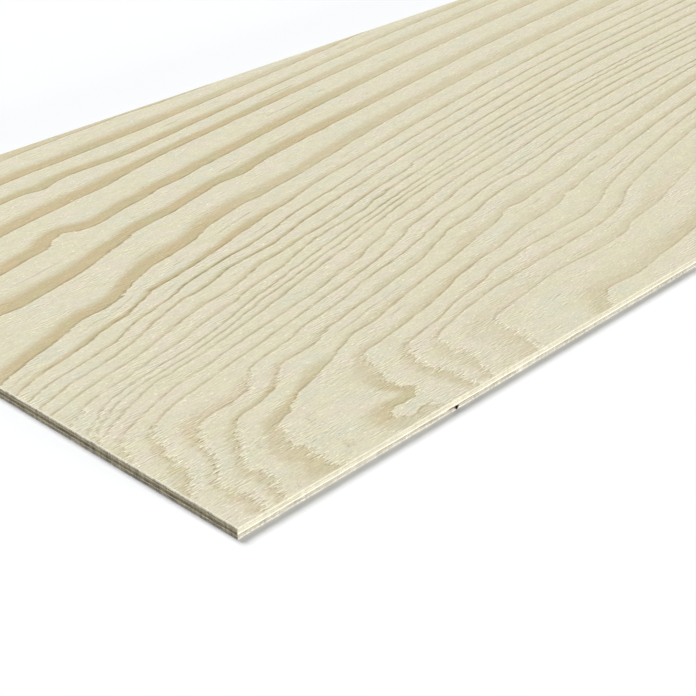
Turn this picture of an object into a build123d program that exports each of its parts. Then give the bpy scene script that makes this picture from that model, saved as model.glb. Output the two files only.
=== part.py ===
from build123d import *
import os

# Plywood sheet of five veneers, lying flat on its back veneer, in millimetres.
# +Z is up and +X runs along the grain of the face. The origin is the middle of the underside.
# Face, core and back have their grain along X. The two cross bands have theirs along Y,
# and the lower one is laid from two strips that meet in an open joint, the core gap.

# Trimmed size of the sheet
sheet_length = 1220.0
sheet_width = 610.0

# Thickness of each veneer after pressing, from the underside up
back_thickness = 1.7
lower_band_thickness = 1.9
core_thickness = 1.8
upper_band_thickness = 1.9
face_thickness = 1.7

# Open joint in the lower cross band
joint_from_end = 213.6       # from the left end of the sheet to the middle of the gap, on the near edge
joint_lean = 5.0             # how far the joint drifts towards +X on its way to the far edge
gap_near = 3.6               # width of the gap in the near edge, where it shows
gap_far = 0.4                # width left between the strips in the far edge

# The saw leaves sharp arrises, and handling wears them down to this much
arris_wear = 0.3

# Levels of the glue lines, from the underside up
back_top = back_thickness
lower_band_top = back_top + lower_band_thickness
core_top = lower_band_top + core_thickness
upper_band_top = core_top + upper_band_thickness
sheet_thickness = upper_band_top + face_thickness

# Edges of the sheet, and where the joint starts and ends on them
left_end = -sheet_length / 2
right_end = sheet_length / 2
near_edge = -sheet_width / 2
far_edge = sheet_width / 2
joint_near = left_end + joint_from_end
joint_far = joint_near + joint_lean


def lay(corners, level, thickness):
    # One veneer: its outline seen from above, laid at a level and pressed to a thickness.
    outline = Face(Wire.make_polygon([(x, y, level) for x, y in corners]))
    return Solid.extrude(outline, Vector(0, 0, thickness))


def full_veneer(level, thickness):
    # A veneer trimmed to the whole sheet.
    corners = [(left_end, near_edge), (right_end, near_edge), (right_end, far_edge), (left_end, far_edge)]
    return lay(corners, level, thickness)


def worn(veneer, side):
    # An outer veneer with the arris all round its outward face worn down.
    arris = veneer.faces().sort_by(Axis.Z)[side].edges()
    return chamfer(arris, arris_wear)


def lower_band():
    # The strips of the lower cross band, left and right of the gap, which narrows to the far edge.
    left_strip = [
        (left_end, near_edge),
        (joint_near - gap_near / 2, near_edge),
        (joint_far - gap_far / 2, far_edge),
        (left_end, far_edge),
    ]
    right_strip = [
        (joint_near + gap_near / 2, near_edge),
        (right_end, near_edge),
        (right_end, far_edge),
        (joint_far + gap_far / 2, far_edge),
    ]
    return [lay(strip, back_top, lower_band_thickness) for strip in (left_strip, right_strip)]


lowest, highest = 0, -1
left_strip, right_strip = lower_band()
pieces = {
    "back_veneer": worn(full_veneer(0, back_thickness), lowest),
    "lower_crossband_left": left_strip,
    "lower_crossband_right": right_strip,
    "core_veneer": full_veneer(lower_band_top, core_thickness),
    "upper_crossband": full_veneer(core_top, upper_band_thickness),
    "face_veneer": worn(full_veneer(upper_band_top, face_thickness), highest),
}

os.makedirs("parts", exist_ok=True)
for name, piece in pieces.items():
    piece.label = name
    export_step(piece, f"parts/{name}.step")
    print(name, round(piece.volume), "mm3")
print("sheet", sheet_length, "x", sheet_width, "x", round(sheet_thickness, 3), "mm")
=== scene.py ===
import bpy
import math
import numpy as np
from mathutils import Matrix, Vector


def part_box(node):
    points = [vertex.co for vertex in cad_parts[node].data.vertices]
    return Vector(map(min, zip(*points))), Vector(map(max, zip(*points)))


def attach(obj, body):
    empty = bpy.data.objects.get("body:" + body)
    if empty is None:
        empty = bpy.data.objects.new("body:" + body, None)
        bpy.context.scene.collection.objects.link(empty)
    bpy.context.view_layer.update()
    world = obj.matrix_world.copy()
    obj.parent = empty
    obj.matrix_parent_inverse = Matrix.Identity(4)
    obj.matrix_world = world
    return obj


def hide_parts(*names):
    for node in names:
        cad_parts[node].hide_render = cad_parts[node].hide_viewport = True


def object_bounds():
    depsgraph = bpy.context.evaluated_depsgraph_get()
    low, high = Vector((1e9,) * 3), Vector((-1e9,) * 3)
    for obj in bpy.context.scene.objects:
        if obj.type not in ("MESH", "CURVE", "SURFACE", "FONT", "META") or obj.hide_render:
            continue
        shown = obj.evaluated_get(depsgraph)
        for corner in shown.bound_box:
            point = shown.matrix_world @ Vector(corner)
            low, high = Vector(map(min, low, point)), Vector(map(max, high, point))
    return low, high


# A bare plywood sheet lying on a white studio floor, seen from above its near left corner.
# Places on the sheet are in millimetres from that corner: x along the long edge, y across.
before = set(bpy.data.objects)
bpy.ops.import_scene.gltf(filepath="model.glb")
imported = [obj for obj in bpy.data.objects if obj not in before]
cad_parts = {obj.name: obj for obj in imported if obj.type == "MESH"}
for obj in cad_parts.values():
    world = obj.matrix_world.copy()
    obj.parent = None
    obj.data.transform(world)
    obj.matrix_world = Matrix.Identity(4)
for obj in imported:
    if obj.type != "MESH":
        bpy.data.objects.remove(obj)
cadLow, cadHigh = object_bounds()
mm = 0.001
samePlace = 1e-6      # metres: places nearer than this are the same
squareOn = 0.8        # how much of a face's normal points a way, for the face to count as facing it
corner = Vector((cadLow.x, cadLow.y, 0))
print("frame loaded, sheet", [round(v / mm, 1) for v in cadHigh - cadLow], "mm")


def fromCorner(x, y, z):
    return corner + Vector((x, y, z)) * mm


# Small helpers for materials: add a node, feed a socket, and the usual sums

def linear(red, green, blue):
    # a colour as picked on screen, 0 to 255, as the scene colour that renders to it
    def one(c):
        c = c / 255
        return c / 12.92 if c <= 0.04045 else ((c + 0.055) / 1.055) ** 2.4
    return (one(red), one(green), one(blue), 1)


def feed(tree, value, socket):
    if isinstance(value, bpy.types.NodeSocket):
        tree.links.new(value, socket)
    else:
        socket.default_value = value


def node(tree, kind, feeds=None, **settings):
    made = tree.nodes.new("ShaderNode" + kind)
    for name, value in settings.items():
        setattr(made, name, value)
    for name, value in (feeds or {}).items():
        feed(tree, value, made.inputs[name])
    return made


def sums(tree, operation, a, b=0.0, c=0.0, clamp=False):
    made = node(tree, "Math", {0: a, 1: b, 2: c}, operation=operation, use_clamp=clamp)
    return made.outputs[0]


def plus(tree, a, b, clamp=False):
    return sums(tree, "ADD", a, b, clamp=clamp)


def minus(tree, a, b, clamp=False):
    return sums(tree, "SUBTRACT", a, b, clamp=clamp)


def times(tree, a, b):
    return sums(tree, "MULTIPLY", a, b)


def over(tree, a, b):
    return sums(tree, "DIVIDE", a, b)


def timesPlus(tree, a, b, c, clamp=False):
    return sums(tree, "MULTIPLY_ADD", a, b, c, clamp)


def ramp(tree, value, start, end, low=0.0, high=1.0, kind="SMOOTHSTEP"):
    feeds = {"Value": value, "From Min": start, "From Max": end, "To Min": low, "To Max": high}
    return node(tree, "MapRange", feeds, interpolation_type=kind).outputs["Result"]


def noise(tree, vector, detail, roughness):
    feeds = {"Vector": vector, "Scale": 1.0, "Detail": detail, "Roughness": roughness}
    return node(tree, "TexNoise", feeds).outputs["Fac"]


def stretched(tree, vector, sizes, shift=(0.0, 0.0, 0.0)):
    # position in metres, divided by the size in mm that one wave of the noise gets each way
    scale = tuple(1 / (mm * s) for s in sizes)
    made = node(tree, "Mapping", {"Vector": vector, "Location": shift, "Scale": scale})
    return made.outputs["Vector"]


def waves(tree, place, sizes, detail=2.0, roughness=0.6, shift=(0.0, 0.0, 0.0)):
    # noise about zero, one wave of it as long each way as the sizes in mm
    return minus(tree, noise(tree, stretched(tree, place, sizes, shift), detail, roughness), 0.5)


def clouds(tree, place, strength, **look):
    # soft light and shade about zero
    return times(tree, waves(tree, place, **look), strength)


def spots(tree, place, covers, **look):
    # a mask made from the waves, by the heights between which it comes up
    return ramp(tree, waves(tree, place, **look), *covers)


def greyed(tree, light):
    return node(tree, "CombineColor", {0: light, 1: light, 2: light}).outputs[0]


def tint(tree, factor, a, b, kind="MIX"):
    made = node(tree, "Mix", data_type="RGBA", blend_type=kind)
    feed(tree, factor, made.inputs[0])
    feed(tree, a, made.inputs[6])
    feed(tree, b, made.inputs[7])
    return made.outputs[2]


def newGroup(name, inputs):
    # a group that puts out what a bare wood finish needs
    tree = bpy.data.node_groups.new(name, "ShaderNodeTree")
    for label, kind, value in inputs:
        socket = tree.interface.new_socket(name=label, in_out="INPUT", socket_type="NodeSocket" + kind)
        if value is not None:
            socket.default_value = value
    for label, kind in (("Color", "Color"), ("Height", "Float"), ("Roughness", "Float")):
        tree.interface.new_socket(name=label, in_out="OUTPUT", socket_type="NodeSocket" + kind)
    return tree, tree.nodes.new("NodeGroupInput").outputs, tree.nodes.new("NodeGroupOutput").inputs


def useGroup(tree, group, feeds):
    made = tree.nodes.new("ShaderNodeGroup")
    made.node_tree = group
    for name, value in feeds.items():
        feed(tree, value, made.inputs[name])
    return made.outputs


# Growth rings of the face. Each row is the dark line of one ring, given from left to
# right. The rings open to the right in long tongues whose blunt ends stand along the near edge.
# The short row 19.25 runs inside a thin pale tongue and keeps it open.
ringLines = {
    -1: ((-20, 548), (130, 580), (260, 596), (400, 606)),
    0: ((-20, 502), (120, 532), (225, 549), (300, 554), (400, 562), (520, 576), (700, 598)),
    1: ((-20, 466), (100, 492), (195, 513), (225, 514), (235, 511), (275, 521), (340, 521), (450, 536),
        (600, 558), (800, 584), (1000, 602)),
    2: ((-20, 411), (80, 437), (150, 456), (200, 465), (220, 468), (250, 473), (280, 476), (308, 483),
        (340, 490), (356, 494), (450, 508), (600, 528), (800, 554), (1000, 575), (1240, 596)),
    3: ((-20, 362), (60, 385), (100, 395), (122, 399), (140, 404), (160, 407), (172, 415), (185, 422),
        (193, 424), (202, 418), (225, 416), (250, 422), (268, 427), (285, 429), (297, 432), (310, 436),
        (325, 438), (340, 439), (360, 443), (376, 447), (400, 450), (500, 468), (650, 492), (850, 520),
        (1240, 560)),
    4: ((-20, 313), (67, 339), (85, 338), (104, 341), (125, 346), (155, 352), (185, 362), (200, 368),
        (216, 372), (224, 375), (233, 380), (249, 383), (264, 385), (280, 387), (308, 393), (323, 397),
        (339, 401), (355, 405), (385, 405), (407, 410), (430, 416), (520, 430), (700, 456), (900, 484),
        (1240, 520)),
    5: ((-20, 242), (0, 250), (20, 258), (50, 268), (80, 277), (100, 285), (108, 287), (130, 289),
        (150, 295), (168, 304), (185, 312), (200, 318), (230, 324), (249, 328), (264, 332), (280, 340),
        (308, 348), (345, 356), (365, 357), (387, 361), (403, 363), (432, 368), (475, 377), (600, 402),
        (800, 432), (1000, 456), (1240, 480)),
    6: ((-20, 222), (0, 230), (20, 238), (40, 244), (60, 248), (80, 253), (100, 260), (120, 265),
        (132, 267), (142, 271), (156, 277), (170, 282), (178, 286), (200, 289), (250, 300), (300, 313),
        (325, 319), (352, 325), (374, 329), (403, 337), (435, 344), (490, 353), (620, 376), (800, 404),
        (1000, 428), (1240, 448)),
    7: ((-20, 209), (0, 217), (20, 224), (40, 229), (60, 232), (80, 236), (100, 240), (110, 244),
        (125, 251), (138, 256), (152, 258), (172, 263), (183, 267), (200, 274), (250, 284), (277, 288),
        (300, 292), (325, 298), (350, 306), (400, 316), (450, 325), (505, 338), (640, 362), (850, 394),
        (1240, 430)),
    8: ((-20, 194), (0, 202), (20, 210), (40, 216), (60, 219), (80, 223), (100, 228), (120, 235),
        (140, 243), (160, 250), (180, 256), (192, 256), (205, 258), (218, 261), (230, 265), (245, 270),
        (268, 273), (300, 276), (320, 281), (350, 290), (400, 300), (430, 306), (470, 314), (515, 324),
        (650, 348), (850, 378), (1240, 412)),
    9: ((-20, 183), (0, 190), (50, 203), (100, 212), (150, 227), (190, 237), (220, 241), (240, 246),
        (258, 253), (270, 257), (290, 259), (325, 266), (370, 273), (400, 280), (430, 287), (500, 300),
        (512, 303), (535, 310), (700, 340), (900, 368), (1240, 396)),
    10: ((-20, 155), (0, 168), (27, 185), (60, 191), (80, 195), (100, 200), (125, 204), (150, 210),
         (180, 218), (205, 222), (220, 228), (245, 234), (260, 237), (277, 240), (287, 243), (300, 248),
         (321, 254), (334, 258), (353, 261), (400, 267), (430, 276), (450, 281), (480, 287), (505, 291),
         (530, 297), (545, 300), (700, 326), (900, 352), (1240, 378)),
    11: ((-20, 140), (0, 151), (25, 164), (40, 175), (75, 184), (130, 192), (175, 202), (205, 211),
         (250, 222), (287, 231), (350, 246), (400, 257), (500, 277), (555, 287), (700, 312), (1240, 360)),
    12: ((-20, 131), (0, 145), (22, 159), (45, 171), (75, 178), (120, 184), (150, 189), (180, 197),
         (200, 203), (220, 209), (245, 214), (260, 217), (277, 222), (300, 227), (326, 233), (350, 238),
         (450, 262), (560, 280), (700, 302), (900, 326), (1240, 348)),
    13: ((-20, 124), (0, 137), (22, 150), (55, 163), (87, 175), (108, 177), (143, 182), (217, 197),
         (250, 206), (300, 218), (350, 230), (450, 255), (565, 274), (700, 292), (900, 314), (1240, 334)),
    14: ((-6, 94), (3, 108), (8, 118), (14, 129), (33, 140), (50, 146), (83, 156), (117, 162), (167, 172),
         (208, 179), (245, 185), (260, 187), (277, 191), (300, 197), (321, 202), (334, 205), (353, 213),
         (380, 220), (391, 225), (403, 230), (440, 235), (500, 250), (580, 264), (700, 282), (900, 302),
         (1240, 321)),
    15: ((-14, 36), (8, 52), (21, 70), (21, 87), (27, 103), (32, 116), (42, 128), (55, 135), (83, 143),
         (117, 149), (142, 154), (167, 158), (190, 163), (208, 166), (220, 168), (245, 173), (260, 176),
         (300, 183), (321, 187), (334, 190), (353, 195), (380, 203), (391, 207), (403, 213), (430, 219),
         (450, 224), (470, 227), (485, 231), (500, 236), (520, 240), (545, 244), (575, 247), (590, 250),
         (700, 268), (900, 290), (1240, 308)),
    16: ((20, -10), (27, 12), (27, 28), (23, 43), (33, 57), (43, 70), (48, 88), (58, 101), (75, 110),
         (100, 112), (118, 117), (131, 127), (142, 137), (160, 142), (180, 146), (192, 147), (200, 150),
         (217, 155), (245, 159), (260, 161), (277, 165), (287, 168), (300, 173), (321, 177), (350, 181),
         (400, 193), (430, 202), (445, 207), (468, 209), (485, 212), (500, 216), (525, 221), (550, 223),
         (575, 226), (610, 231), (760, 254), (1240, 296)),
    17: ((40, -10), (47, 13), (54, 33), (50, 47), (65, 68), (78, 85), (95, 96), (117, 99), (140, 108),
         (150, 118), (158, 124), (170, 127), (200, 129), (213, 133), (225, 139), (240, 141), (260, 146),
         (300, 152), (325, 157), (350, 162), (366, 165), (380, 170), (425, 186), (440, 188), (460, 190),
         (475, 194), (500, 201), (525, 206), (545, 209), (565, 209), (580, 211), (600, 216), (620, 220),
         (760, 242), (960, 266), (1240, 284)),
    18: ((104, -10), (93, 8), (91, 18), (96, 34), (90, 45), (98, 56), (101, 67), (121, 75), (131, 82),
         (143, 88), (167, 95), (200, 106), (230, 118), (260, 121), (310, 133), (400, 151), (436, 160),
         (461, 164), (481, 171), (494, 177), (517, 176), (560, 183), (600, 188), (640, 196), (760, 216),
         (960, 244), (1240, 268)),
    19: ((204, -10), (200, 2), (195, 9), (186, 13), (169, 16), (164, 18), (170, 21), (196, 23), (201, 29),
         (200, 41), (196, 53), (203, 64), (207, 76), (213, 91), (218, 94),
         (242, 96), (300, 106), (335, 114), (360, 122), (400, 130), (425, 132),
         (452, 138), (475, 143), (527, 148), (548, 154), (556, 159), (570, 160), (582, 162), (592, 165),
         (620, 171), (655, 176), (760, 196), (960, 224), (1240, 250)),
    19.25: ((172, 18), (186, 18), (204, 15)),
    20: ((235, -10), (239, 27), (232, 47), (239, 64), (248, 78), (262, 81), (303, 88), (327, 96),
         (355, 100), (374, 103), (392, 110), (423, 112), (440, 115), (500, 117), (550, 121), (600, 140),
         (680, 160), (800, 184), (1000, 212), (1240, 233)),
    21: ((250, -10), (262, 20), (271, 34), (266, 56), (274, 70), (307, 79), (342, 85), (372, 89),
         (462, 94), (520, 97), (550, 101), (566, 106), (582, 111), (610, 125), (700, 146), (820, 168),
         (1000, 194), (1240, 214)),
    22: ((306, -10), (320, 30), (322, 54), (345, 60), (400, 67), (430, 70), (480, 69), (528, 72),
         (546, 80), (600, 87), (660, 102), (760, 126), (900, 154), (1240, 192)),
    23: ((396, -10), (412, 10), (428, 21), (472, 19), (505, 24), (550, 29), (600, 37), (680, 58), (780, 88),
         (920, 120), (1240, 164)),
    24: ((590, -10), (620, 12), (700, 30), (800, 60), (940, 92), (1240, 140)),
    25: ((710, -10), (750, 12), (860, 38), (980, 68), (1240, 114)),
    26: ((840, -10), (890, 14), (1000, 38), (1240, 86)),
    27: ((980, -10), (1040, 14), (1240, 54)),
    28: ((1110, -10), (1240, 22)),
}
ringMaking = {
    "step": 16,           # mm between the points that hold each line
    "give": 0.0015,       # how far the field may smooth a line's corners
    "unit": 100,          # mm, the length that the sums are done in
    "never0": 1e-12,      # keeps the logarithm off zero
    "batch": 3000,        # vertices worked out at a time
    "leastPitch": 1e-4,   # rings per mm, where the field is level
}

# How deep the tan of the summer wood is: listed spots, each with its middle, its reach
# along and across the grain, and the depth there. Between them it comes to the plain depth.
plainDepth = {"weight": 0.15, "depth": 0.45}
depthSpots = (
    (150, 430, 260, 60, 1.6), (330, 500, 200, 60, 1.3), (0, 330, 130, 45, 1.35), (90, 280, 80, 25, 1.2),
    (230, 320, 100, 40, 1.4), (420, 280, 60, 30, 1.0), (330, 290, 50, 30, 0.9), (480, 320, 90, 40, 0.4),
    (360, 350, 60, 25, 0.8), (80, 170, 110, 45, 0.15), (300, 210, 130, 40, 0.5), (440, 190, 100, 40, 0.55),
    (600, 200, 140, 60, 0.3), (230, 125, 80, 30, 0.5), (330, 130, 60, 25, 0.65), (30, 80, 60, 35, 0.65),
    (135, 90, 45, 20, 0.95), (95, 15, 60, 25, 0.75), (40, 20, 60, 30, 0.5), (188, 38, 34, 20, 1.0),
    (175, 3, 35, 8, 0.35), (235, 40, 20, 40, 0.6), (300, 60, 80, 35, 0.25), (330, 10, 60, 20, 0.45),
    (410, 10, 40, 20, 0.6), (430, 60, 90, 25, 0.12),
    (480, 130, 60, 30, 0.15), (560, 90, 120, 25, 0.35), (600, 40, 60, 25, 0.6), (700, 110, 70, 60, 0.0),
    (385, 245, 45, 22, 0.2), (545, 285, 50, 25, 0.1), (950, 300, 250, 200, 0.6),
)


def alongLine(points, step):
    # a smooth course through the given points, in steps of a few millimetres
    p = np.array(points, float)
    ends = np.vstack([2 * p[0] - p[1], p, 2 * p[-1] - p[-2]])
    made = []
    for a, b, c, d in zip(ends, ends[1:], ends[2:], ends[3:]):
        count = max(1, round(np.linalg.norm(c - b) / step))
        t = (np.arange(count) / count)[:, None]
        made.append(b + 0.5 * t * (c - a) + t ** 2 * (a - 2.5 * b + 2 * c - 0.5 * d)
                    + 0.5 * t ** 3 * (3 * b - a - 3 * c + d))
    made.append(p[-1:])
    return np.vstack(made)


def ringField(lines, making):
    # a thin sheet bent through all the lines: at each point the ring's number, and its slope
    centres = [alongLine(points, making["step"]) for points in lines.values()]
    heights = np.concatenate([np.full(len(c), float(n)) for n, c in zip(lines, centres)])
    unit, never0 = making["unit"], making["never0"]
    centres = np.vstack(centres) / unit
    gap = ((centres[:, None] - centres[None]) ** 2).sum(2)
    bend = 0.5 * gap * np.log(gap + never0) + making["give"] * np.eye(len(centres))
    flat = np.hstack([np.ones((len(centres), 1)), centres])
    system = np.block([[bend, flat], [flat.T, np.zeros((3, 3))]])
    weights = np.linalg.solve(system, np.concatenate([heights, np.zeros(3)]))

    def at(places):
        found = []
        for part in np.array_split(places / unit, max(1, len(places) // making["batch"])):
            away = part[:, None] - centres[None]
            gap = (away ** 2).sum(2) + never0
            ring = 0.5 * gap * np.log(gap) @ weights[:-3] + weights[-3] + part @ weights[-2:]
            pull = (np.log(gap) + 1) * weights[:-3]
            slope = (away * pull[..., None]).sum(1) + weights[-2:]
            found.append(np.column_stack([ring, slope / unit]))
        return np.vstack(found)

    return at


def depthAt(places):
    total = np.full(len(places), plainDepth["weight"])
    found = total * plainDepth["depth"]
    for x, y, along, across, depth in depthSpots:
        weight = np.exp(-((places[:, 0] - x) / along) ** 2 - ((places[:, 1] - y) / across) ** 2)
        total += weight
        found += weight * depth
    return found / total


# Modelling steps

def setMode(mode):
    bpy.ops.object.mode_set(mode=mode)


def startEditing(piece):
    bpy.ops.object.select_all(action="DESELECT")
    piece.select_set(True)
    bpy.context.view_layer.objects.active = piece
    setMode("EDIT")
    bpy.ops.mesh.select_all(action="DESELECT")
    setMode("OBJECT")


def selectFaces(piece, test):
    # faces chosen by their middle and their normal
    startEditing(piece)
    for face in piece.data.polygons:
        face.select = test(face.center, face.normal)
    setMode("EDIT")
    bpy.ops.mesh.select_mode(type="FACE")


def selectEdges(piece, test):
    # edges chosen by their two ends
    startEditing(piece)
    verts = piece.data.vertices
    for edge in piece.data.edges:
        edge.select = test(*(verts[v].co for v in edge.vertices))
    setMode("EDIT")
    bpy.ops.mesh.select_mode(type="EDGE")


def layVeneer(name, low, high, cell):
    # a grid the size of the veneer, pulled up to its thickness
    size = high - low
    bpy.ops.object.select_all(action="DESELECT")
    bpy.ops.mesh.primitive_grid_add(
        x_subdivisions=round(size.x / (cell * mm)),
        y_subdivisions=round(size.y / (cell * mm)),
        size=1,
        location=(low + high) / 2 - Vector((0, 0, size.z / 2)),
    )
    veneer = bpy.context.active_object
    veneer.name = veneer.data.name = name
    veneer.scale = (size.x, size.y, 1)
    bpy.ops.object.transform_apply(location=True, rotation=False, scale=True)
    setMode("EDIT")
    bpy.ops.mesh.select_all(action="SELECT")
    bpy.ops.mesh.extrude_region_move(TRANSFORM_OT_translate={"value": (0, 0, size.z)})
    bpy.ops.mesh.select_all(action="SELECT")
    bpy.ops.mesh.normals_make_consistent(inside=False)
    setMode("OBJECT")
    return veneer


def joinBroadFaces(veneer, up, down):
    # a face that is glued out of sight needs no grid
    for hidden, way in ((up, 1), (down, -1)):
        if hidden:
            selectFaces(veneer, lambda place, normal: normal.z * way > squareOn)
            bpy.ops.mesh.dissolve_faces()
            setMode("OBJECT")


rimSlack = 0.02           # mm


def onRim(place):
    # on one of the four sawn edges of the sheet
    near = min(place.x - cadLow.x, cadHigh.x - place.x, place.y - cadLow.y, cadHigh.y - place.y)
    return near < rimSlack * mm


def wearArris(veneer, level, width, choose):
    # the sharp arris round the outward face, rounded by handling
    selectEdges(veneer, lambda a, b: abs(a.z - level) < samePlace and abs(b.z - level) < samePlace
                and onRim((a + b) / 2) and onRim(a) and onRim(b) and choose(a, b))
    bpy.ops.mesh.bevel(offset=width * mm, segments=wear["segments"], affect="EDGES", clamp_overlap=True)
    setMode("OBJECT")


def groupOf(veneer, name, test):
    group = veneer.vertex_groups.new(name=name)
    group.add([v.index for v in veneer.data.vertices if test(v.co)], 1, "REPLACE")
    return name


def displace(veneer, name, group, size, strength, middle, direction):
    texture = bpy.data.textures.get(name) or bpy.data.textures.new(name, "CLOUDS")
    texture.noise_scale = size * mm
    texture.noise_depth = 2
    push = veneer.modifiers.new(name, "DISPLACE")
    push.texture = texture
    push.texture_coords = "LOCAL"
    push.vertex_group = group
    push.mid_level = middle
    push.direction = direction
    push.strength = strength * mm
    startEditing(veneer)
    bpy.ops.object.modifier_apply(modifier=name)


def giveMaterials(veneer, materials, choose):
    # one slot for each finish, handed out by the place and normal of each face: all start in the first
    names = list(materials)
    for name in names:
        veneer.data.materials.append(materials[name])
    for index, name in enumerate(names[1:], 1):
        selectFaces(veneer, lambda place, normal: choose(place, normal) == name)
        veneer.active_material_index = index
        bpy.ops.object.material_slot_assign()
        setMode("OBJECT")


# Camera where the photograph was taken from, worked out from the sheet's two edges

camera = {
    "place": (-526.1, -590.0, 582.6),     # from the near left corner
    "heading": 43.28,                     # degrees from the long edge
    "down": 29.45,                        # degrees below level
    "focal": 1555 / 696,                  # focal length over picture width
    "sensor": 36,
    "nearest": 0.01,                      # metres, where its view starts
}
bpy.ops.object.camera_add(
    location=fromCorner(*camera["place"]),
    rotation=(math.radians(90 - camera["down"]), 0, math.radians(camera["heading"] - 90)),
)
view = bpy.context.active_object
view.name = "camera"
view.data.sensor_width = camera["sensor"]
view.data.lens = camera["sensor"] * camera["focal"]
view.data.clip_start = camera["nearest"]
bpy.context.scene.camera = view
bpy.context.scene.view_settings.view_transform = "Standard"

# Lights: a broad key from behind, a level fill on the long edge, and a pale room all round

lights = {
    "key": {"heading": 82, "height": 53, "level": 0.985, "spread": 36},
    "fill": {"heading": -84, "height": 3, "level": 0.86, "spread": 5},
}
room = {"level": 0.145, "white": 1.0}     # as it lights the sheet, and as the camera sees it
lampHeight = 2                            # metres, for show: a sun shines alike from anywhere


def sun(name, heading, height, level, spread):
    # heading is where the light comes from, in degrees from +X, and level 1 is a plain full light
    bpy.ops.object.light_add(
        type="SUN",
        location=(0, 0, lampHeight),
        rotation=(math.radians(90 - height), 0, math.radians(heading + 90)),
    )
    lamp = bpy.context.active_object
    lamp.name = name
    lamp.data.energy = level * math.pi
    lamp.data.angle = math.radians(spread)


for name, values in lights.items():
    sun(name, **values)


def seen(tree):
    # 1 where the camera, a mirror or a glass looks, so that these see plain white
    path = node(tree, "LightPath").outputs
    both = plus(tree, path["Is Camera Ray"], path["Is Glossy Ray"])
    return plus(tree, both, path["Is Transmission Ray"], clamp=True)


world = bpy.data.worlds.new("room")
world.use_nodes = True
bpy.context.scene.world = world
backdrop = world.node_tree.nodes["Background"]
backdrop.inputs["Color"].default_value = (1, 1, 1, 1)
strength = ramp(world.node_tree, seen(world.node_tree), 0, 1, room["level"], room["white"], "LINEAR")
feed(world.node_tree, strength, backdrop.inputs["Strength"])

floorLook = {
    "size": 30,           # metres
    "below": 0.1,         # mm under the sheet, so that the two don't share a surface
    "white": 1.0,         # as the camera sees it
    "bounce": 0.65,       # as it lights the sheet's edges
    "lift": 0.05,         # a cool glow, to keep the open floor white and its shadow grey
    "glow": (0.45, 0.7, 1.0, 1),
}
bpy.ops.mesh.primitive_plane_add(size=floorLook["size"], location=(0, 0, -floorLook["below"] * mm))
floor = bpy.context.active_object
floor.name = "floor"
floorPaint = bpy.data.materials.new("studioFloor")
floorPaint.use_nodes = True
tree = floorPaint.node_tree
paint = tree.nodes["Principled BSDF"]
shown = seen(tree)
shade = ramp(tree, shown, 0, 1, floorLook["bounce"], floorLook["white"], "LINEAR")
feed(tree, greyed(tree, shade), paint.inputs["Base Color"])
paint.inputs["Roughness"].default_value = 1
paint.inputs["Specular IOR Level"].default_value = 0
paint.inputs["Emission Color"].default_value = floorLook["glow"]
feed(tree, times(tree, shown, floorLook["lift"]), paint.inputs["Emission Strength"])
floor.data.materials.append(floorPaint)
print("camera, lights and floor ready")

# Wood finishes

woodTones = {
    "pale": linear(221, 216, 187),
    "rosy": linear(224, 215, 193),
    "cool": linear(218, 216, 193),
    "tan": linear(198, 180, 140),
    "olive": linear(193, 182, 141),
    # painted highlight of the pale lip just past each dark line
    "lip": linear(232, 222, 194),
    "line": linear(197, 191, 174),       # what is left of the light in the dark line
    # painted highlight along the top arris of the face veneer
    "rim": linear(246, 241, 221),
}


# What a ring looks like. A range is the two ends of a ramp, and after them what the ramp gives
# there, if that isn't 0 and 1. Lengths are in mm, pitch is in rings per mm, and a share is of the ring.
tearing = {
    "teeth": 13.0,                              # longest reach of a fibre past its neighbours
    "byCrossing": (0.2, 0.65, 0.22, 1.0),       # longest where the ring is square to the grain
    "fine": {"sizes": (8, 1.7, 1.7), "detail": 1, "roughness": 0.5}, "fineShare": 1.5,
    "broad": {"sizes": (22, 3.6, 3.6)},
    "waver": {"sizes": (26, 8, 8), "roughness": 0.5, "strength": 2.5},
}
summerWood = {
    "startByPitch": (0.02, 0.05, 0.34, 0.5),    # share gone by where it starts
    "startPatches": {"sizes": (110, 26, 26), "roughness": 0.5, "strength": 0.3},
    "startOwn": 0.16,                           # most that one ring starts later than another
    "rise": (0.0, 0.34),                        # share in which it comes up
    "reach": (27, 6),                           # before the line
    "leastOwn": 0.85,                           # depth in the palest ring
    "pastLine": (0.7, 0.0, 0.0, 0.8),
    "olive": {"sizes": (38, 16, 16), "roughness": 0.5, "shift": (0.4, 0.8, 0.0), "covers": (-0.1, 0.12)},
}
darkLine = {
    "before": (2.6, 0.5), "past": (0.8, 0.0),
    "broken": {"sizes": (18, 3.5, 3.5), "detail": 3, "covers": (-0.16, 0.12, 0.2, 1.0)},
    "notched": {"sizes": (5, 2.4, 2.4), "detail": 1, "roughness": 0.5, "covers": (-0.08, 0.12, 0.15, 1.2)},
    "byPitch": (0.02, 0.06, 0.75, 1.0),
    "byStrength": (0.1, 1.4, 0.58, 1.0),
}
falseRing = {
    "from": 0.3, "spread": 0.3,                 # share gone by where it lies
    "halfWidth": (1.5, 0.2),
    "shows": {"sizes": (90, 20, 20), "roughness": 0.5, "shift": (0.5, 0.1, 0.0),
              "covers": (0.06, 0.18, 0.0, 0.5)},
    "byPitch": (0.07, 0.04),
}
# painted highlight just past each dark line: where it comes up and where it fades
paleLip = {"comes": (0.6, 1.4), "goes": (4.0, 1.8, 0.0, 0.35)}
tornWood = {
    "crossing": (0.3, 0.8), "past": (12, 2), "before": (6, 1), "least": 0.12,
    "rough": {"sizes": (36, 14, 14), "roughness": 0.5, "shift": (0.2, 0.4, 0.0),
              "covers": (-0.02, 0.14, 0.25, 1.0)},
}
blush = {
    "rosy": {"sizes": (34, 14, 14), "covers": (-0.12, 0.16)},
    "cool": {"sizes": (40, 18, 18), "shift": (0.6, 0.3, 0.0), "covers": (0.0, 0.16, 0.0, 0.7)},
}
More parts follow.
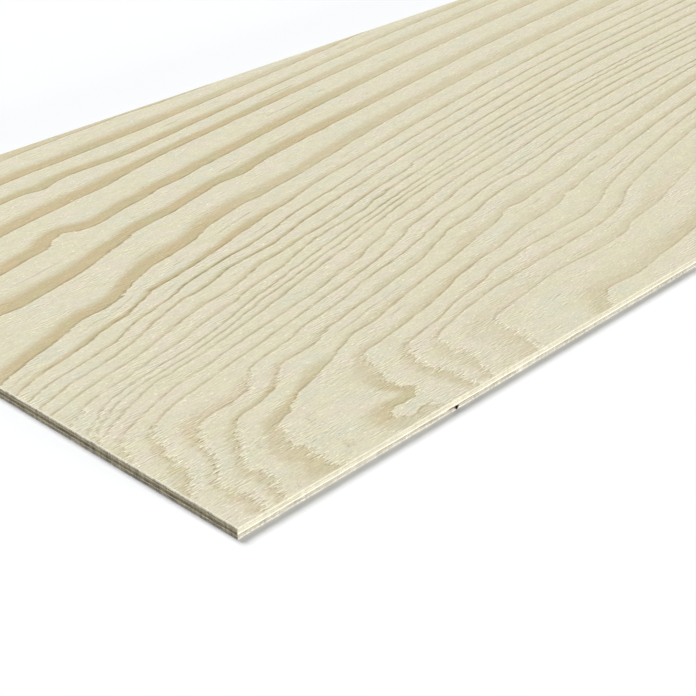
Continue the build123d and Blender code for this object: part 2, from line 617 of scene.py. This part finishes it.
fibres = {
    "ridge": {"sizes": (8, 1.3, 1.3), "detail": 1, "roughness": 0.5},
    # where the painted shade of each ridge lies, and how strong the painted ridge shading is
    "ridgeShade": (0.0, 0.65, 0.0), "ridgeStrength": 0.85,
    "bright": {"sizes": (5.5, 1.3, 1.3), "covers": (0.05, 0.2, 0.0, 0.35)},
    "dark": {"sizes": (6.5, 1.3, 1.3), "shift": (0.3, 0.7, 0.0), "covers": (0.05, 0.22, 0.0, -0.36)},
    "fleck": {"sizes": (2.8, 1.4, 1.4), "detail": 1, "roughness": 0.5, "shift": (0.9, 0.2, 0.0),
              "covers": (0.14, 0.27, 0.0, 0.3)},
    "streak": {"sizes": (16, 1.6, 1.6), "strength": 0.17},
    "speck": {"sizes": (1.9, 1.2, 1.2), "strength": 0.35},
    "mottle": {"sizes": (13, 7, 7), "strength": 0.17},
}
faceRelief = {"summer": 0.5, "line": 0.5, "fibre": 1.6}
faceGloss = {"spring": 0.72, "summer": 0.6}     # roughness


def tornRings(tree, place, field, crossing, teeth):
    # The ring number at a point, its edge torn where it crosses the grain: each bundle of
    # fibres ends a little before or after its neighbour.
    ring, drift, pitch = field
    fine = waves(tree, place, **tearing["fine"])
    broad = waves(tree, place, **tearing["broad"])
    length = times(tree, teeth, ramp(tree, crossing, *tearing["byCrossing"]))
    reach = times(tree, timesPlus(tree, fine, tearing["fineShare"], broad), length)
    torn = timesPlus(tree, reach, drift, ring)
    return timesPlus(tree, clouds(tree, place, **tearing["waver"]), pitch, torn)


def fibreMarks(tree, place, rough, byLine):
    # Marks of the cut fibres, as a share of the wood's brightness, about zero: fine ridges in rough
    # patches with their painted highlight and shade, short strokes by the torn lines, and specks and flecks
    # all over.
    # painted highlight and shade of the ridges: the noise less the same noise shifted across the grain
    lit = waves(tree, place, **fibres["ridge"])
    shaded = waves(tree, place, shift=fibres["ridgeShade"], **fibres["ridge"])
    slope = times(tree, minus(tree, lit, shaded), fibres["ridgeStrength"])
    ridges = times(tree, slope, rough)
    bright = spots(tree, place, **fibres["bright"])
    dark = spots(tree, place, **fibres["dark"])
    strokes = times(tree, plus(tree, bright, dark), byLine)
    fleck = spots(tree, place, **fibres["fleck"])
    speck = clouds(tree, place, **fibres["speck"])
    streak = clouds(tree, place, **fibres["streak"])
    mottle = clouds(tree, place, **fibres["mottle"])
    marks = plus(tree, plus(tree, ridges, strokes), plus(tree, fleck, speck))
    return plus(tree, marks, plus(tree, streak, mottle))


def veneerFigureGroup():
    # The figure on the broad face of a rotary-cut veneer, from the ring field held in the mesh:
    # pale spring wood that turns tan and ends in a thin dark line.
    tones = ("pale", "rosy", "cool", "tan", "olive", "lip", "line")
    tree, given, out = newGroup("veneerFigure", (
        ("Field", "Vector", None), ("Place", "Vector", None),
        *((tone.title(), "Color", woodTones[tone]) for tone in tones),
        ("Teeth", "Float", tearing["teeth"]), ("Strength", "Float", 1.0),
    ))
    place = given["Place"]
    field = node(tree, "SeparateXYZ", {0: given["Field"]}).outputs
    drift, pitch = field[1], field[2]
    crossing = over(tree, sums(tree, "ABSOLUTE", drift), pitch)     # 1 square to the grain
    torn = tornRings(tree, place, field, crossing, given["Teeth"])
    share = sums(tree, "FRACT", torn)                               # of the ring gone by
    toLine = over(tree, minus(tree, 1.0, share), pitch)             # mm still to go
    pastLine = over(tree, share, pitch)                             # mm gone by
    number = sums(tree, "FLOOR", torn)
    own = node(tree, "TexWhiteNoise", {"W": number}, noise_dimensions="1D").outputs["Color"]
    ownStart, ownThin, ownDepth = node(tree, "SeparateColor", {0: own}).outputs

    # summer wood: starts near the middle of the ring, deepest in its last few millimetres
    patches = clouds(tree, place, **summerWood["startPatches"])
    middle = plus(tree, ramp(tree, pitch, *summerWood["startByPitch"]), patches)
    start = timesPlus(tree, ownStart, summerWood["startOwn"], middle)
    risen = ramp(tree, minus(tree, share, start), *summerWood["rise"])
    late = times(tree, risen, ramp(tree, toLine, *summerWood["reach"]))
    late = times(tree, late, ramp(tree, ownDepth, 0, 1, summerWood["leastOwn"], 1.0, "LINEAR"))
    late = sums(tree, "MAXIMUM", late, ramp(tree, pastLine, *summerWood["pastLine"]))
    late = times(tree, late, given["Strength"])

    # the dark line, fainter in wide rings and where it crosses the grain, and thin false rings
    dark = sums(tree, "MAXIMUM", ramp(tree, toLine, *darkLine["before"]),
                ramp(tree, pastLine, *darkLine["past"]))
    broken = spots(tree, place, **darkLine["broken"])
    notched = spots(tree, place, **darkLine["notched"])
    isTorn = ramp(tree, crossing, *tornWood["crossing"])
    dark = times(tree, dark, broken)
    dark = times(tree, dark, ramp(tree, isTorn, 0.0, 1.0, 1.0, notched, "LINEAR"))
    dark = times(tree, dark, ramp(tree, pitch, *darkLine["byPitch"]))
    dark = times(tree, dark, ramp(tree, given["Strength"], *darkLine["byStrength"]))
    thinAt = timesPlus(tree, ownThin, falseRing["spread"], falseRing["from"])
    fromThin = over(tree, sums(tree, "ABSOLUTE", minus(tree, share, thinAt)), pitch)
    shows = spots(tree, place, **falseRing["shows"])
    shows = times(tree, shows, ramp(tree, pitch, *falseRing["byPitch"]))
    thin = times(tree, ramp(tree, fromThin, *falseRing["halfWidth"]), shows)
    dark = sums(tree, "MAXIMUM", dark, thin)
    # painted highlight: a pale lip just past the line
    lip = times(tree, ramp(tree, pastLine, *paleLip["comes"]), ramp(tree, pastLine, *paleLip["goes"]))

    # torn wood by the line and in patches
    byLine = sums(tree, "MAXIMUM", ramp(tree, pastLine, *tornWood["past"]),
                  ramp(tree, toLine, *tornWood["before"]))
    byLine = timesPlus(tree, byLine, isTorn, tornWood["least"])
    rough = spots(tree, place, **tornWood["rough"])
    fibre = fibreMarks(tree, place, sums(tree, "MAXIMUM", rough, byLine), byLine)

    colour = tint(tree, spots(tree, place, **blush["rosy"]), given["Pale"], given["Rosy"])
    colour = tint(tree, spots(tree, place, **blush["cool"]), colour, given["Cool"])
    deep = tint(tree, spots(tree, place, **summerWood["olive"]), given["Tan"], given["Olive"])
    colour = tint(tree, late, colour, deep)
    # the painted highlight goes over the tan
    colour = tint(tree, lip, colour, given["Lip"])
    colour = tint(tree, dark, colour, tint(tree, 1.0, colour, given["Line"], "MULTIPLY"))
    # the fibre marks, with the painted ridge shading, lighten and darken the colour
    light = greyed(tree, plus(tree, fibre, 1.0))
    feed(tree, tint(tree, 1.0, colour, light, "MULTIPLY"), out["Color"])

    height = times(tree, dark, faceRelief["line"])
    height = timesPlus(tree, late, faceRelief["summer"], height)
    feed(tree, timesPlus(tree, fibre, faceRelief["fibre"], height), out["Height"])
    gloss = ramp(tree, late, 0, 1, faceGloss["spring"], faceGloss["summer"], "LINEAR")
    feed(tree, gloss, out["Roughness"])
    return tree


# What the saw leaves. The rings change fast down through the ply and slowly along the edge.
sawnLook = {
    "bow": {"sizes": (130, 130, 6), "roughness": 0.5, "strength": 3.2},
    "ringDown": 2.6, "ringAlong": 85,           # mm for each ring
    "late": (0.4, 1.0), "lateSharpness": 1.5,
    "streak": {"sizes": (24, 24, 0.45), "detail": 3, "covers": (-0.12, 0.25)},
    "patchy": {"sizes": (36, 36, 2.0), "roughness": 0.55, "covers": (-0.05, 0.25)},
    "patchyShare": 0.5, "grainShare": 0.6,      # of the dark tone
    "pore": {"sizes": (1.7, 1.7, 0.9), "strength": 0.9},
    "kerf": {"sizes": (2.6, 2.6, 14), "strength": 0.9},
    "blotch": {"sizes": (11, 11, 2.4), "roughness": 0.5, "strength": 0.7},
    "roughness": (0.78, 0.7),                   # where pale and where dark
}
glueLine = {
    "width": 0.55,                              # mm
    "run": {"sizes": (13, 13, 13), "covers": (-0.12, 0.14, 0.25, 1.0)},
    "edge": (0.0, 0.6), "sunk": -0.3,
}
# painted highlight along the top of a sawn edge, under the arris
sawnRim = {
    "ragged": {"sizes": (3, 3, 3)}, "raggedShare": 0.8,
    "covers": (1.2, 0.7),                       # share of the rim's depth
}


def sawnEdgeGroup():
    # A sawn edge of one ply: Along runs with the edge, Level is the height in the sheet.
    # Long grain is streaked and pale, end grain is open-pored and crossed by bowed rings.
    places = ("Along", "Across", "Level", "Bottom", "Top", "End Grain", "Rim Depth")
    tree, given, out = newGroup("sawnEdge", (
        *((label, "Float", 0.0) for label in places),
        ("Pale", "Color", woodTones["pale"]), ("Dark", "Color", woodTones["tan"]),
        ("Glue", "Color", woodTones["olive"]), ("Rim", "Color", woodTones["rim"]),
        ("Mottle", "Float", 0.5), ("Glue Below", "Float", 0.4), ("Glue Above", "Float", 0.4),
    ))
    place = node(tree, "CombineXYZ", {0: given["Along"], 1: given["Across"], 2: given["Level"]}).outputs[0]
    isEnd = given["End Grain"]

    # rings of the ply, cut by the saw: long lazy bows in end grain, streaks in long grain
    bow = clouds(tree, place, **sawnLook["bow"])
    ring = timesPlus(tree, given["Level"], 1 / (sawnLook["ringDown"] * mm), bow)
    ring = timesPlus(tree, given["Along"], 1 / (sawnLook["ringAlong"] * mm), ring)
    late = ramp(tree, sums(tree, "FRACT", ring), *sawnLook["late"])
    late = sums(tree, "POWER", late, sawnLook["lateSharpness"])
    streak = spots(tree, place, **sawnLook["streak"])
    grain = plus(tree, times(tree, streak, minus(tree, 1.0, isEnd)), times(tree, late, isEnd))
    patchy = spots(tree, place, **sawnLook["patchy"])
    tone = times(tree, grain, sawnLook["grainShare"])
    tone = timesPlus(tree, patchy, sawnLook["patchyShare"], tone, clamp=True)
    colour = tint(tree, tone, given["Pale"], given["Dark"])

    # open pores, marks of the saw's teeth and broader blotches
    pore = clouds(tree, place, **sawnLook["pore"])
    kerf = clouds(tree, place, **sawnLook["kerf"])
    blotch = clouds(tree, place, **sawnLook["blotch"])
    marks = plus(tree, plus(tree, pore, kerf), blotch)
    marks = times(tree, marks, given["Mottle"])
    light = plus(tree, marks, 1.0)

    # glue lines, which run in and out of sight
    rise = minus(tree, given["Level"], given["Bottom"])
    drop = minus(tree, given["Top"], given["Level"])
    run = spots(tree, place, **glueLine["run"])
    width = times(tree, run, glueLine["width"] * mm)

    def seam(away, strength):
        cover = minus(tree, 1.0, over(tree, away, width), clamp=True)
        return times(tree, ramp(tree, cover, *glueLine["edge"]), strength)

    glue = sums(tree, "MAXIMUM", seam(rise, given["Glue Below"]), seam(drop, given["Glue Above"]))
    colour = tint(tree, times(tree, glue, run), colour, given["Glue"])
    # painted highlight in a ragged band at the top of the edge
    ragged = waves(tree, place, **sawnRim["ragged"])
    ragged = timesPlus(tree, ragged, sawnRim["raggedShare"], 1.0)
    rimShare = over(tree, drop, timesPlus(tree, given["Rim Depth"], ragged, samePlace))
    colour = tint(tree, ramp(tree, rimShare, *sawnRim["covers"]), colour, given["Rim"])
    feed(tree, tint(tree, 1.0, colour, greyed(tree, light), "MULTIPLY"), out["Color"])
    feed(tree, timesPlus(tree, glue, glueLine["sunk"], light), out["Height"])
    feed(tree, ramp(tree, tone, 0, 1, *sawnLook["roughness"], "LINEAR"), out["Roughness"])
    return tree


veneerFigure = veneerFigureGroup()
sawnEdge = sawnEdgeGroup()
bareLook = {
    "specular": 0.25,
    "faceRelief": 0.08, "sawnRelief": 0.05, "gluedRelief": 0.1,       # mm
}


def bareWood(name, outputs, depth):
    # the shader that every bare wood finish ends in
    material = bpy.data.materials.new(name)
    material.use_nodes = True
    tree = material.node_tree
    shader = tree.nodes["Principled BSDF"]
    shader.inputs["Specular IOR Level"].default_value = bareLook["specular"]
    colour, height, roughness = outputs(tree)
    feed(tree, colour, shader.inputs["Base Color"])
    feed(tree, roughness, shader.inputs["Roughness"])
    bump = node(tree, "Bump", {"Height": height, "Distance": depth * mm, "Strength": 1.0})
    feed(tree, bump.outputs["Normal"], shader.inputs["Normal"])
    return material


broadFace = {
    "endRim": 1.1, "sideRim": 0.4,        # mm, the band of painted highlight along the ends and the sides
    "rimRagged": (2.6, 2.6, 2.6), "raggedness": -1.2, "rimCovers": (0.9, 0.0, 0.0, 0.9),
    "splinters": {"sizes": (2.2, 2.2, 2.2)}, "splinterLight": 0.6,
}


def faceFinish(name, look):
    def outputs(tree):
        place = node(tree, "TexCoord").outputs["Object"]
        x, y = node(tree, "SeparateXYZ", {0: place}).outputs[:2]
        found = useGroup(tree, veneerFigure, {
            "Field": node(tree, "Attribute", attribute_name="grainField").outputs["Vector"],
            "Strength": node(tree, "Attribute", attribute_name="summerDepth").outputs["Fac"],
            "Place": place,
        })
        # painted highlight: a pale band along the sheet's ends and sides, with a ragged inner edge
        fromEnd = minus(tree, cadHigh.x, sums(tree, "ABSOLUTE", x))
        fromSide = minus(tree, cadHigh.y, sums(tree, "ABSOLUTE", y))
        near = sums(tree, "MINIMUM", over(tree, fromEnd, look["endRim"] * mm),
                    over(tree, fromSide, look["sideRim"] * mm))
        ragged = noise(tree, stretched(tree, place, look["rimRagged"]), 2, 0.6)
        worn = ramp(tree, timesPlus(tree, ragged, look["raggedness"], near), *look["rimCovers"])
        splinters = waves(tree, place, **look["splinters"])
        splinters = timesPlus(tree, splinters, look["splinterLight"], 1.0)
        rim = tint(tree, 1.0, woodTones["rim"], greyed(tree, splinters), "MULTIPLY")
        return tint(tree, worn, found["Color"], rim), found["Height"], found["Roughness"]
    return bareWood(name, outputs, bareLook["faceRelief"])


# The open joint in the lower cross band, and the darker patches round its mouth

def jointEnd(strip, pick, side):
    # where one strip's edge at the joint meets the near side (-1) or the far side (1) of the sheet
    return pick(v.co.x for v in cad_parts[strip].data.vertices if v.co.y * side > 0)


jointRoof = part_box("core_veneer")[1].z + samePlace      # the plies above the core get no dark patches
jointNear = (jointEnd("lower_crossband_left", max, -1) + jointEnd("lower_crossband_right", min, -1)) / 2
bruiseEdge = {
    "fade": 10,           # mm from the middle of the sheet towards the near edge
    "ragged": {"sizes": (2.5, 1.2, 1)}, "raggedShare": 1.4, "covers": (1.15, 0.4),
}
bruises = [
    {"off": -5.0, "level": 3.3, "reach": (6.5, 0.9), "strength": 0.75, "tone": (128, 100, 78)},
    {"off": 7.5, "level": 3.5, "reach": (12, 0.5), "strength": 0.7, "tone": (142, 120, 98)},
    {"off": -1.8, "level": 2.6, "reach": (2.2, 1.6), "strength": 0.9, "tone": (96, 72, 52)},
]


def bruised(tree, along, across, level, colour):
    onNearEdge = ramp(tree, across, 0.0, -bruiseEdge["fade"] * mm)
    ragged = waves(tree, node(tree, "CombineXYZ", {0: along, 1: level}).outputs[0], **bruiseEdge["ragged"])
    for bruise in bruises:
        middle = jointNear + bruise["off"] * mm
        reachAlong, reachLevel = bruise["reach"]
        side = over(tree, minus(tree, along, middle), reachAlong * mm)
        height = cadLow.z + bruise["level"] * mm
        lift = over(tree, minus(tree, level, height), reachLevel * mm)
        squares = timesPlus(tree, side, side, times(tree, lift, lift))
        away = timesPlus(tree, ragged, bruiseEdge["raggedShare"], sums(tree, "SQRT", squares))
        cover = ramp(tree, away, *bruiseEdge["covers"], 0.0, bruise["strength"])
        colour = tint(tree, times(tree, cover, onNearEdge), colour, linear(*bruise["tone"]))
    return colour


def edgeFinish(name, low, high, acrossGrain, alongX, values):
    def outputs(tree):
        x, y, z = node(tree, "SeparateXYZ", {0: node(tree, "TexCoord").outputs["Object"]}).outputs
        found = useGroup(tree, sawnEdge, {
            "Along": x if alongX else y, "Across": y if alongX else x, "Level": z,
            "Bottom": low.z, "Top": high.z, "End Grain": 1.0 if acrossGrain else 0.0, **values,
        })
        colour = found["Color"]
        # darker patches round the mouth of the joint, on the plies below the core
        if alongX and high.z < jointRoof:
            colour = bruised(tree, x, y, z, colour)
        return colour, found["Height"], found["Roughness"]
    return bareWood(name, outputs, bareLook["sawnRelief"])


# painted shade of the open core gap; the same finish covers the glued faces out of sight
stain = {
    "patches": (3, 3, 3), "dark": linear(30, 22, 16), "light": linear(58, 44, 32),
    "roughness": (0.8, 0.95),
}


def stainedFinish():
    # glued faces and the inside of the core gap: dark brown, painted shade so that the gap looks dark
    def outputs(tree):
        place = node(tree, "TexCoord").outputs["Object"]
        patch = noise(tree, stretched(tree, place, stain["patches"]), 3, 0.6)
        roughness = ramp(tree, patch, 0, 1, *stain["roughness"], "LINEAR")
        return tint(tree, patch, stain["dark"], stain["light"]), patch, roughness
    return bareWood("gluedInside", outputs, bareLook["gluedRelief"])


gluedInside = stainedFinish()


def sawnTones(pale, dark, mottle, glue=(176, 158, 124), below=0.4, above=0.4):
    return {
        "Pale": linear(*pale), "Dark": linear(*dark), "Mottle": mottle,
        "Glue": linear(*glue), "Glue Below": below, "Glue Above": above,
    }


# The veneers, from the face down. Each has its look on the long edges and on the end edges.

brownGlue = (150, 126, 98)
darkGlue = (66, 50, 36)
lowerBand = {
    "slot": "lower_crossband", "cell": 8, "grain": "y",
    "long": sawnTones((208, 202, 182), (184, 177, 155), 0.85, brownGlue, 0.1, 0.8),
    "end": sawnTones((230, 222, 200), (204, 194, 169), 1.3, darkGlue, 0.6, 0.8),
}
veneers = {
    "faceVeneer": {
        "replaces": "face_veneer", "slot": "face_veneer", "cell": 4, "grain": "x",
        "long": sawnTones((229, 224, 201), (216, 209, 183), 0.34, above=0.0, below=0.2),
        # painted highlight along the top of the left end
        "end": {**sawnTones((222, 213, 180), (192, 180, 147), 1.4, darkGlue, 0.3), "Rim Depth": 1.2 * mm},
    },
    "upperCrossband": {
        "replaces": "upper_crossband", "slot": "upper_crossband", "cell": 8, "grain": "y",
        "long": sawnTones((226, 221, 198), (208, 200, 173), 0.38, above=0.25, below=0.0),
        "end": sawnTones((222, 213, 181), (200, 190, 158), 1.3, darkGlue, 0.15, 0.3),
    },
    "coreVeneer": {
        "replaces": "core_veneer", "slot": "core_veneer", "cell": 8, "grain": "x",
        "long": sawnTones((250, 247, 228), (238, 232, 210), 0.26, brownGlue, 0.4, 0.0),
        "end": sawnTones((172, 159, 128), (134, 120, 92), 1.8, darkGlue, 1.0, 0.1),
    },
    "lowerCrossbandLeft": {"replaces": "lower_crossband_left", "joint": "right", **lowerBand},
    "lowerCrossbandRight": {"replaces": "lower_crossband_right", "joint": "left", **lowerBand},
    "backVeneer": {
        "replaces": "back_veneer", "slot": "back_veneer", "cell": 6, "grain": "x",
        "long": sawnTones((232, 228, 214), (212, 207, 190), 0.8, brownGlue, 0.0, 0.2),
        "end": sawnTones((214, 206, 184), (180, 171, 148), 1.4, darkGlue, 0.2, 0.8),
    },
}
wear = {
    "longArris": 0.4, "endArris": 0.9, "lowerArris": 0.25,        # mm
    "segments": 3,
    "rough": 0.12, "roughLength": 5,                              # mm, of the sawn edges
    "waver": 0.3, "waverLength": 60,                              # mm, of the glue lines
}
jointSpare = 5        # mm that a strip is laid past the joint, and then loses


def trimToJoint(veneer, strip, side):
    # the strip's slanting edge at the open joint, cut off the over-long strip
    pick = max if side == "right" else min
    near = jointEnd(strip, pick, -1)
    far = jointEnd(strip, pick, 1)
    course = Vector((far - near, cadHigh.y - cadLow.y, 0)).normalized()
    outward = Vector((course.y, -course.x, 0)) * (1 if side == "right" else -1)
    startEditing(veneer)
    setMode("EDIT")
    bpy.ops.mesh.select_all(action="SELECT")
    bpy.ops.mesh.bisect(
        plane_co=(near, cadLow.y, 0), plane_no=outward, use_fill=True, clear_outer=True,
        threshold=samePlace,
    )
    setMode("OBJECT")


def straightenJoint(veneer):
    # the wall of the joint is out of sight, so it keeps only its four corners
    startEditing(veneer)
    setMode("EDIT")
    bpy.ops.mesh.select_mode(type="VERT")
    setMode("OBJECT")
    for vertex in veneer.data.vertices:
        vertex.select = not onRim(vertex.co)
    setMode("EDIT")
    bpy.ops.mesh.dissolve_verts()
    setMode("OBJECT")


def makeVeneer(name, low, high, values):
    joint = values.get("joint")
    spare = Vector((jointSpare * mm, 0, 0))
    veneer = layVeneer(
        name,
        low - spare if joint == "left" else low,
        high + spare if joint == "right" else high,
        values["cell"],
    )
    if joint:
        trimToJoint(veneer, values["replaces"], joint)
    isFace = abs(high.z - cadHigh.z) < samePlace
    isBack = abs(low.z - cadLow.z) < samePlace
    joinBroadFaces(veneer, up=not isFace, down=not isBack)
    if joint:
        straightenJoint(veneer)
    if isFace or isBack:
        level = high.z if isFace else low.z
        ends = wear["endArris"] if isFace else wear["lowerArris"]
        wearArris(veneer, level, ends, lambda a, b: abs(a.x - b.x) < samePlace)
        wearArris(veneer, level, wear["longArris"], lambda a, b: abs(a.x - b.x) > samePlace)

    # the glue lines waver a little, alike in the two veneers that meet there
    seams = ([] if isBack else [low.z]) + ([] if isFace else [high.z])
    glued = groupOf(veneer, "glued", lambda co: min(abs(co.z - z) for z in seams) < samePlace)
    displace(veneer, "glueLineWaver", glued, wear["waverLength"], wear["waver"], 0.5, "Z")
    rim = groupOf(veneer, "rim", onRim)
    displace(veneer, "sawnRoughness", rim, wear["roughLength"], -wear["rough"], 0.0, "NORMAL")
    return veneer


# The splinter torn out of the back veneer under the mouth of the joint

chip = {
    "off": -0.2, "top": 3.6, "bottom": 2.0, "depth": 2.5,     # mm: place, widths, and depth inward
    "inward": 0.7,                        # how much of the depth is left at the bottom
    "floor": 0.25, "over": 0.5,           # mm: the bottom's level, and what the cutter stands out above
}


def tearChip(veneer, top):
    # a wedge, narrower at the bottom, cut away from the near edge
    height = top + chip["over"] * mm - chip["floor"] * mm
    bpy.ops.object.select_all(action="DESELECT")
    bpy.ops.mesh.primitive_cube_add(
        size=1,
        location=(jointNear + chip["off"] * mm, cadLow.y, chip["floor"] * mm + height / 2),
        scale=(chip["top"] * mm, 2 * chip["depth"] * mm, height),
    )
    wedge = bpy.context.active_object
    selectFaces(wedge, lambda place, normal: normal.z < -squareOn)
    bpy.ops.transform.resize(value=(chip["bottom"] / chip["top"], chip["inward"], 1))
    setMode("OBJECT")
    cutter = veneer.modifiers.new("chip", "BOOLEAN")
    cutter.operation = "DIFFERENCE"
    cutter.solver = "EXACT"
    cutter.object = wedge
    startEditing(veneer)
    bpy.ops.object.modifier_apply(modifier="chip")
    bpy.data.objects.remove(wedge)


skin = 1.0                                # mm from a side of the sheet, for a face to belong to it


def sideOf(place, normal):
    # the finish of a face: broad, sawn on a long edge or an end, or hidden in the glue and the gap
    margin = skin * mm
    if normal.z > squareOn:
        return "broad" if cadHigh.z - place.z < margin else "hidden"
    if normal.z < -squareOn:
        return "broad" if place.z - cadLow.z < margin else "hidden"
    if min(place.x - cadLow.x, cadHigh.x - place.x) < margin and abs(normal.x) > abs(normal.y):
        return "end"
    return "long" if min(place.y - cadLow.y, cadHigh.y - place.y) < margin else "hidden"


def giveRings(veneer, at, depth):
    # The ring field of a broad face, held in its vertices: the ring's number, its drift along the
    # grain and the rings per mm. The depth of the summer wood is held beside it.
    places = np.empty(len(veneer.data.vertices) * 3)
    veneer.data.vertices.foreach_get("co", places)
    places = places.reshape(-1, 3) / mm - np.array(corner / mm)
    found = at(places[:, :2])
    pitch = np.maximum(np.hypot(found[:, 1], found[:, 2]), ringMaking["leastPitch"])
    held = veneer.data.attributes.new("grainField", "FLOAT_VECTOR", "POINT")
    held.data.foreach_set("vector", np.column_stack([found[:, :2], pitch]).astype(np.float32).ravel())
    held = veneer.data.attributes.new("summerDepth", "FLOAT", "POINT")
    held.data.foreach_set("value", depth(places[:, :2]).astype(np.float32))


# The underside has a plainer figure: gently bowed rings about one long cathedral. Lengths are in mm.
backFigure = {
    "depth": 0.9,                                       # of the tan, the same all over
    "middle": 260, "stray": 40, "strayLength": 310,     # across the sheet
    "width": 60, "blunt": 0.8, "rings": 1.9,            # rings in each width
    "tilt": 260,                                        # length of the sheet for each ring
    "ripple": 0.35, "rippleAlong": 150, "rippleAcross": 90,
}


def evenDepth(places):
    return np.full(len(places), backFigure["depth"])


def backRings(places):
    x, y = places[:, 0], places[:, 1]
    stray, strayLength, width = (backFigure[k] for k in ("stray", "strayLength", "width"))
    rings, tilt, ripple = (backFigure[k] for k in ("rings", "tilt", "ripple"))
    rippleAlong, rippleAcross = backFigure["rippleAlong"], backFigure["rippleAcross"]
    middle = backFigure["middle"] + stray * np.sin(x / strayLength)
    away = (y - middle) / width
    hill = np.sqrt(away ** 2 + backFigure["blunt"])
    phase = x / rippleAlong + y / rippleAcross
    ring = rings * hill - x / tilt + ripple * np.sin(phase)
    slopeY = rings * away / hill / width + ripple / rippleAcross * np.cos(phase)
    bend = -rings * away / hill * stray / strayLength / width * np.cos(x / strayLength)
    slopeX = bend - 1 / tilt + ripple / rippleAlong * np.cos(phase)
    return np.column_stack([ring, slopeX, slopeY])


figures = {
    "faceVeneer": (ringField(ringLines, ringMaking), depthAt),
    "backVeneer": (backRings, evenDepth),
}
for name, values in veneers.items():
    low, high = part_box(values["replaces"])
    veneer = makeVeneer(name, low, high, values)
    if name == "backVeneer":
        tearChip(veneer, high.z)
    across = values["grain"] == "y"
    looks = {
        "hidden": gluedInside,
        "long": edgeFinish(name + "LongEdge", low, high, across, True, values["long"]),
        "end": edgeFinish(name + "EndEdge", low, high, not across, False, values["end"]),
    }
    if name in figures:
        giveRings(veneer, *figures[name])
        looks["broad"] = faceFinish(name + "Figure", broadFace)
    giveMaterials(veneer, looks, sideOf)
    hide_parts(values["replaces"])
    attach(veneer, "root")
    print(name, len(veneer.data.polygons), "faces")
